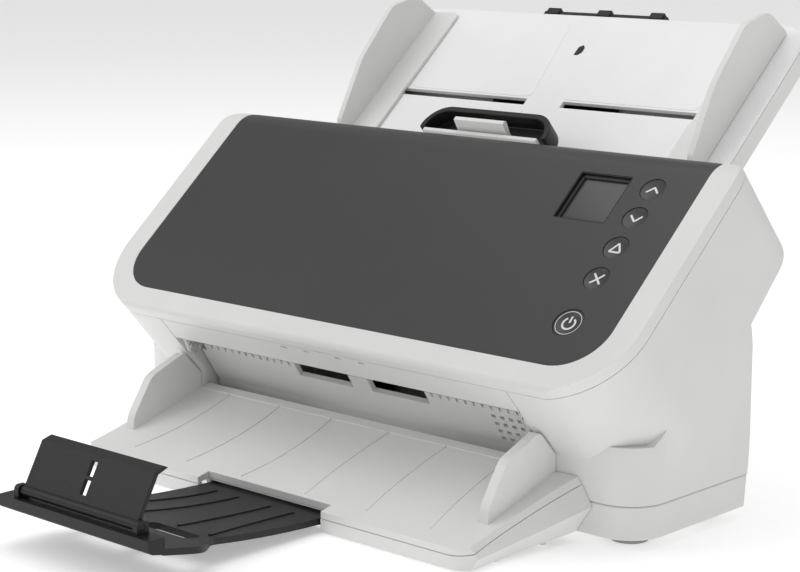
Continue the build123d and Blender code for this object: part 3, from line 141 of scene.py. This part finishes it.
def softened(node, width, finish):
    """A copy of a CAD node, its triangles merged into flat faces, with rounded edges."""
    source = frame["nodes"][node]
    shape = bmesh.new()
    shape.from_mesh(source.data)
    bmesh.ops.remove_doubles(shape, verts=shape.verts, dist=MERGE)
    bmesh.ops.dissolve_limit(shape, angle_limit=FLAT_ANGLE, verts=shape.verts, edges=shape.edges)
    for edge in shape.edges:
        edge.smooth = len(edge.link_faces) == 2 and edge.calc_face_angle(np.pi) < EDGE_ANGLE
    for face in shape.faces:
        face.smooth = True
    mesh = bpy.data.meshes.new(node + "_body")
    shape.to_mesh(mesh)
    shape.free()
    piece = bpy.data.objects.new(node + "_body", mesh)
    bpy.context.scene.collection.objects.link(piece)
    mesh.materials.clear()
    mesh.materials.append(finish)
    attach(piece, BODY_OF[node])
    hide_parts(node)
    rounding = piece.modifiers.new("rounding", "BEVEL")
    rounding.width = width * MM
    rounding.segments = 3
    rounding.limit_method = "ANGLE"
    rounding.angle_limit = EDGE_ANGLE
    rounding.use_clamp_overlap = True
    rounding.harden_normals = True
    return piece


# ------------------------------------------------------------------ finishes

def moulded(name, colour, roughness, grain=900.0, bump=0.05, spread=0.06, mottle=0.03, **shader):
    """Plastic, rubber or metal: a fine noise for grain and gloss, a broad one for tone."""
    material = bpy.data.materials.new(name)
    material.use_nodes = True
    tree = material.node_tree
    links, make = tree.links, tree.nodes.new
    surface = tree.nodes["Principled BSDF"]
    for socket, value in shader.items():
        surface.inputs[socket].default_value = value
    place = make("ShaderNodeTexCoord").outputs["Object"]
    fine, broad = make("ShaderNodeTexNoise"), make("ShaderNodeTexNoise")
    for noise, scale, detail in ((fine, grain, 4), (broad, 18.0, 5)):
        noise.inputs["Scale"].default_value = scale
        noise.inputs["Detail"].default_value = detail
        links.new(place, noise.inputs["Vector"])
    tone = make("ShaderNodeValToRGB")
    base = np.array(colour)
    tone.color_ramp.elements[0].position, tone.color_ramp.elements[1].position = 0.3, 0.7
    tone.color_ramp.elements[0].color = (*np.clip(base * (1 - mottle), 0, 1), 1)
    tone.color_ramp.elements[1].color = (*np.clip(base * (1 + mottle), 0, 1), 1)
    links.new(broad.outputs["Fac"], tone.inputs["Fac"])
    links.new(tone.outputs["Color"], surface.inputs["Base Color"])
    gloss = make("ShaderNodeMapRange")
    gloss.inputs["To Min"].default_value = max(roughness - spread, 0.02)
    gloss.inputs["To Max"].default_value = roughness + spread
    links.new(fine.outputs["Fac"], gloss.inputs["Value"])
    links.new(gloss.outputs["Result"], surface.inputs["Roughness"])
    relief = make("ShaderNodeBump")
    relief.inputs["Strength"].default_value = bump
    relief.inputs["Distance"].default_value = 0.0004
    links.new(fine.outputs["Fac"], relief.inputs["Height"])
    links.new(relief.outputs["Normal"], surface.inputs["Normal"])
    return material


WHITE = moulded("white_moulding", (0.80, 0.80, 0.79), 0.42, grain=1500, bump=0.10)
# painted light: a brighter copy of the white moulding, standing in for the extra light that falls on the
# sheet rest
WHITE_REST_PAINTED_LIGHT = moulded("white_sheet_rest_painted_light", (0.92, 0.92, 0.92), 0.44, grain=1500, bump=0.10)
WHITE_INNER = moulded("white_inner_moulding", (0.76, 0.76, 0.75), 0.48, grain=1300, bump=0.12)
CHARCOAL = moulded("charcoal_panel", (0.034, 0.033, 0.035), 0.40, grain=2600, bump=0.14, spread=0.08)
BLACK = moulded("black_moulding", (0.009, 0.009, 0.010), 0.42, grain=1900, bump=0.22, spread=0.10,
                **{"Specular IOR Level": 0.35})
KEY = moulded("key_cap", (0.030, 0.029, 0.031), 0.30, grain=2400, bump=0.05)
LEGEND = moulded("white_legend", (0.80, 0.80, 0.80), 0.35, grain=1500, bump=0.02)
SCREEN = moulded("display_face", (0.048, 0.047, 0.050), 0.16, grain=300, bump=0.0, spread=0.02)
RUBBER = moulded("rubber_tyre", (0.020, 0.020, 0.021), 0.78, grain=700, bump=0.35)
FOOT = moulded("grey_rubber", (0.36, 0.36, 0.36), 0.75, grain=700, bump=0.30)
STEEL = moulded("drawn_steel", (0.55, 0.55, 0.56), 0.28, grain=500, bump=0.05, Metallic=1.0)
BOARD = moulded("circuit_board", (0.02, 0.14, 0.06), 0.38, grain=400, bump=0.20, mottle=0.25)
NYLON = moulded("nylon", (0.72, 0.71, 0.66), 0.5, grain=900, bump=0.08)
PAN = moulded("inner_black", (0.010, 0.010, 0.010), 0.6, grain=900, bump=0.12)
GLASS = moulded("clear_window", (0.75, 0.80, 0.80), 0.05, grain=60, bump=0.0, spread=0.01, Alpha=0.3)

CAD_FINISH = {
    WHITE_INNER: ["cover_frame", "feed_deck", "exit_panel", "side_frames"],
    PAN: ["rear_scan_head", "front_scan_head"],
    FOOT: ["rubber_feet"],
    KEY: [key + "_button" for key in KEYS],
    RUBBER: ["exit_roller_tyres", "transport_roller_tyres", "feed_roller_tyres", "separation_roller",
             "drive_belts"],
    STEEL: ["hinge_pins", "latch_shaft", "latch_hooks", "exit_roller_shaft", "transport_roller_shaft",
            "feed_roller_shaft", "motor_rotor", "drive_motor", "usb_port"],
    NYLON: ["roller_bushes", "exit_pulley", "transport_pulley", "feed_pulley", "guide_pinion",
            "exit_idler", "transport_idler"],
    BOARD: ["main_board", "panel_board"],
    GLASS: ["rear_scan_glass", "front_scan_glass"],
    SCREEN: ["display_module", "display_window"],
    BLACK: ["power_inlet"],
}
for material, nodes in CAD_FINISH.items():
    for node in nodes:
        slots = frame["nodes"][node].data.materials
        slots.clear()
        slots.append(material)

# housings, covers and trays keep their CAD form, with edges rounded by a width in millimetres
ROUNDED = {
    (WHITE, "light_plastic"): {
        "bezel": 1.4, "left_housing": 0.8, "right_housing": 0.8, "lower_strip": 0.5, "rear_cover": 0.5,
        "base_pan": 0.7, "cover_back": 0.4, "output_tray": 0.8, "output_tray_base": 0.7,
        "input_tray_back": 0.9, "left_guide": 0.6, "right_guide": 0.6, "release_paddle": 0.8},
    # the input tray takes the brighter white, which is painted light
    (WHITE_REST_PAINTED_LIGHT, "light_plastic"): {"input_tray": 0.6},
    (CHARCOAL, "panel_plastic"): {"control_panel": 0.35},
    (BLACK, "dark_plastic"): {
        "handle_scoop": 1.0, "input_extender": 0.5, "output_extender": 0.5, "end_stop": 0.5},
}
for (material, slot), widths in ROUNDED.items():
    for node, width in widths.items():
        softened(node, width, material)


# ------------------------------------------------------------------ key legends

def dish(x, s, key_s):
    """The hollow top of a key: the low part of a sphere centred DISH_H out from the panel."""
    return DISH_H - np.sqrt(DISH_R ** 2 - (x - KEY_X) ** 2 - (s - key_s) ** 2)


def evenly(corners, count=10):
    """Points spread along each side of an open line of corners."""
    corners = np.asarray(corners, float)
    t = np.linspace(0, 1, count, endpoint=False)[:, None]
    sides = [a + (b - a) * t for a, b in zip(corners[:-1], corners[1:])]
    return np.vstack(sides + [corners[-1:]])


def arc(radius, start, stop, count=40):
    """Points of a circle's arc between two angles in degrees."""
    turn = np.radians(np.linspace(start, stop, count))
    return np.stack([radius * np.cos(turn), radius * np.sin(turn)], -1)


UP = np.array([0.0, 0.0, 1.0])
FACE_NORMAL = np.array([0.0, -SL, CL])
LEGENDS = {
    "up": [evenly([(-3.0, -1.5), (0, 1.5), (3.0, -1.5)])],
    "down": [evenly([(-3.0, 1.5), (0, -1.5), (3.0, 1.5)])],
    "start": [evenly([(-2.8, -2.1), (0, 2.7)]), evenly([(0, 2.7), (2.8, -2.1)]),
              evenly([(2.8, -2.1), (-2.8, -2.1)])],
    "stop": [evenly([(-2.6, -2.6), (2.6, 2.6)]), evenly([(-2.6, 2.6), (2.6, -2.6)])],
    "power": [arc(2.9, 125, 415), evenly([(0, 0.4), (0, 3.6)])],
}
for key, strokes in LEGENDS.items():
    for number, stroke in enumerate(strokes):
        x, s = KEY_X + stroke[:, 0], KEYS[key] + stroke[:, 1]
        line = leaning(x, s, dish(x, s, KEYS[key]) + 0.02)
        carried(f"{key}_legend_{number}", band(line, FACE_NORMAL, 0.95 * MM, 0.09 * MM),
                f"{key}_key", LEGEND)
ring = arc(5.9, 0, 360, 97)[:-1]
x, s = KEY_X + ring[:, 0], KEYS["power"] + ring[:, 1]
line = leaning(x, s, dish(x, s, KEYS["power"]) + 0.02)
carried("power_ring", band(np.vstack([line, line[:1]]), FACE_NORMAL, 0.3 * MM, 0.08 * MM)[:-1],
        "power_key", LEGEND, loop=True)

# ------------------------------------------------------------------ display

def frame_rings(steps):
    """Rings of a frame inside the window: each step is how far in from its edge and how high it lies."""
    (x0, x1), (s0, s1) = WINDOW_X, WINDOW_S
    corners = [(x0, s0), (x1, s0), (x1, s1), (x0, s1)]
    signs = [(1, 1), (-1, 1), (-1, -1), (1, -1)]
    return np.stack([leaning([c[0] + k * g[0] for c, g in zip(corners, signs)],
                             [c[1] + k * g[1] for c, g in zip(corners, signs)], h)
                     for k, h in steps], 1)


surround = [(0.15, -0.15), (0.15, -2.3), (1.9, -2.3), (1.9, -1.9), (0.75, -1.5), (0.6, -0.15)]
carried("display_surround", frame_rings(surround), "cover", BLACK, loop=True, smooth=False)

# ------------------------------------------------------------------ output tray ribs

RIB_BACK, RIB_FRONT = 20, -34


def tray_rib(x_back, x_front, bow):
    """A low rib from the tray's back to its lip, bowed sideways as a parabola in y."""
    y = np.linspace(RIB_BACK, RIB_FRONT, 40)
    t = (RIB_BACK - y) / (RIB_BACK - RIB_FRONT)
    return upright(x_back + (x_front - x_back) * t + bow * 4 * t * (1 - t), y, tray_height(y) + 0.02)


TRAY_RIBS = ((-86, -92), (-52, -56), (-18, -20), (18, 20), (52, 56), (86, 92))
for number, (x_back, x_front) in enumerate(TRAY_RIBS):
    line = tray_rib(x_back, x_front, np.sign(-x_back) * 2.5)
    carried(f"tray_rib_{number}", band(line, UP, 0.9 * MM, 0.35 * MM), "base", WHITE)

# ------------------------------------------------------------------ input tray panels

def tray_panel(name, outline, top):
    """A raised flat panel on the sheet rest, its outline set in at the top edge."""
    outline = np.asarray(outline, float)
    centre = outline.mean(0)
    rings = [leaning(*(centre + (outline - centre) * k).T, PATH_H + h)
             for k, h in ((1.0, -0.2), (1.0, top * 0.5), (0.996, top))]
    # the panels take the sheet rest's brighter white, which is painted light
    return carried(name, rings, "base", WHITE_REST_PAINTED_LIGHT, smooth=False)


def rounded(corners, radius, count=8):
    """A polygon with each corner replaced by an arc tangent to its two sides."""
    corners = np.asarray(corners, float)
    points = []
    for before, here, after in zip(np.roll(corners, 1, 0), corners, np.roll(corners, -1, 0)):
        a, b = before - here, after - here
        a, b = a / np.linalg.norm(a), b / np.linalg.norm(b)
        t = np.linspace(0, 1, count)[:, None]
        start, end = here + a * radius, here + b * radius
        points.append(start * (1 - t) ** 2 + 2 * here * t * (1 - t) + end * t ** 2)
    return np.vstack(points)


PANEL_RISE, PANEL_OUT = 0.2, 88
for label, side in (("left", -1), ("right", 1)):
    upper = [(9.5, 170), (PANEL_OUT, 170), (PANEL_OUT, 220.5), (15, 220.5)]
    lower = [(9, 124), (PANEL_OUT, 124), (PANEL_OUT, 163.5), (9, 163.5)]
    tray_panel(f"sheet_rest_{label}", rounded([(side * x, s) for x, s in upper], 4), PANEL_RISE)
    tray_panel(f"sheet_step_{label}", rounded([(side * x, s) for x, s in lower], 3), PANEL_RISE)
# the hook hole is not cut: a thin black patch on the sheet rest is painted shade for the dark inside of
# the hole
hook = rounded([(-1.4, 199.5), (1.0, 199.5), (2.6, 201.5), (2.6, 204.5), (1.0, 206.5), (-1.4, 205.0)], 0.6)
tray_panel("tray_hook_hole_painted_shade", hook, 0.06).data.materials[0] = BLACK

# ------------------------------------------------------------------ extender ribs

ARC_Y, ARC_Z, ARC_R = -25.0, 563.4, 557.2
SLIDE_BACK, SLIDE_FRONT = -45, -100
EXTENDER_RIBS = ((-24, -33), (24, 33), (-10, -14), (10, 14))


def extender_height(y):
    """The extender's top: a circle about a far-off centre above it."""
    return ARC_Z - np.sqrt(ARC_R ** 2 - (y - ARC_Y) ** 2)


for number, (x_back, x_front) in enumerate(EXTENDER_RIBS):
    y = np.linspace(SLIDE_BACK, SLIDE_FRONT, 40)
    t = (y - SLIDE_BACK) / (SLIDE_FRONT - SLIDE_BACK)
    line = upright(x_back + (x_front - x_back) * t ** 2, y, extender_height(y))
    carried(f"extender_rib_{number}", band(line, UP, 1.3 * MM, 0.55 * MM), "output_extension",
            BLACK)

# ------------------------------------------------------------------ floor, lights and camera

def soft_light(name, place, target, size, power):
    """A square lamp that faces a point."""
    data = bpy.data.lights.new(name, "AREA")
    data.energy, data.size = power, size
    lamp = bpy.data.objects.new(name, data)
    bpy.context.scene.collection.objects.link(lamp)
    lamp.location = place
    lamp.rotation_euler = (Vector(target) - Vector(place)).to_track_quat("-Z", "Y").to_euler()


floor_mesh = bpy.data.meshes.new("floor")
FLOOR = 8.0
floor_mesh.from_pydata([(-FLOOR, -FLOOR, 0), (FLOOR, -FLOOR, 0), (FLOOR, FLOOR, 0), (-FLOOR, FLOOR, 0)],
                       [], [(0, 1, 2, 3)])
floor = bpy.data.objects.new("floor", floor_mesh)
bpy.context.scene.collection.objects.link(floor)
glow = {"Emission Color": (1, 1, 1, 1), "Emission Strength": 0.36}
floor_mesh.materials.append(moulded("pale_floor", (0.93, 0.93, 0.93), 0.7, grain=40, bump=0.0,
                                    mottle=0.005, **glow))

MIDDLE = (0.0, -0.01, 0.09)
soft_light("overhead", (-0.15, 0.15, 1.7), MIDDLE, 1.6, 11)
soft_light("left_window", (-1.2, -1.1, 1.2), MIDDLE, 1.2, 8.5)
soft_light("right_fill", (1.5, -0.5, 0.8), MIDDLE, 1.2, 0.5)
soft_light("behind", (0.2, 1.5, 1.1), MIDDLE, 1.2, 1.5)
world = bpy.data.worlds.new("studio")
world.use_nodes = True
sky = world.node_tree.nodes["Background"].inputs
sky["Color"].default_value = (1, 1, 1, 1)
sky["Strength"].default_value = 0.42
bpy.context.scene.world = world
bpy.context.scene.view_settings.view_transform = "Standard"

lens = bpy.data.cameras.new("camera")
lens.sensor_width, lens.lens = 36.0, 94.3
camera = bpy.data.objects.new("camera", lens)
bpy.context.scene.collection.objects.link(camera)
camera.location = Vector((635.0, EDGE_Y - 633.9, 264.0)) * MM
camera.rotation_euler = Vector((-0.6704, 0.7183, -0.1860)).to_track_quat("-Z", "Y").to_euler()
bpy.context.scene.camera = camera
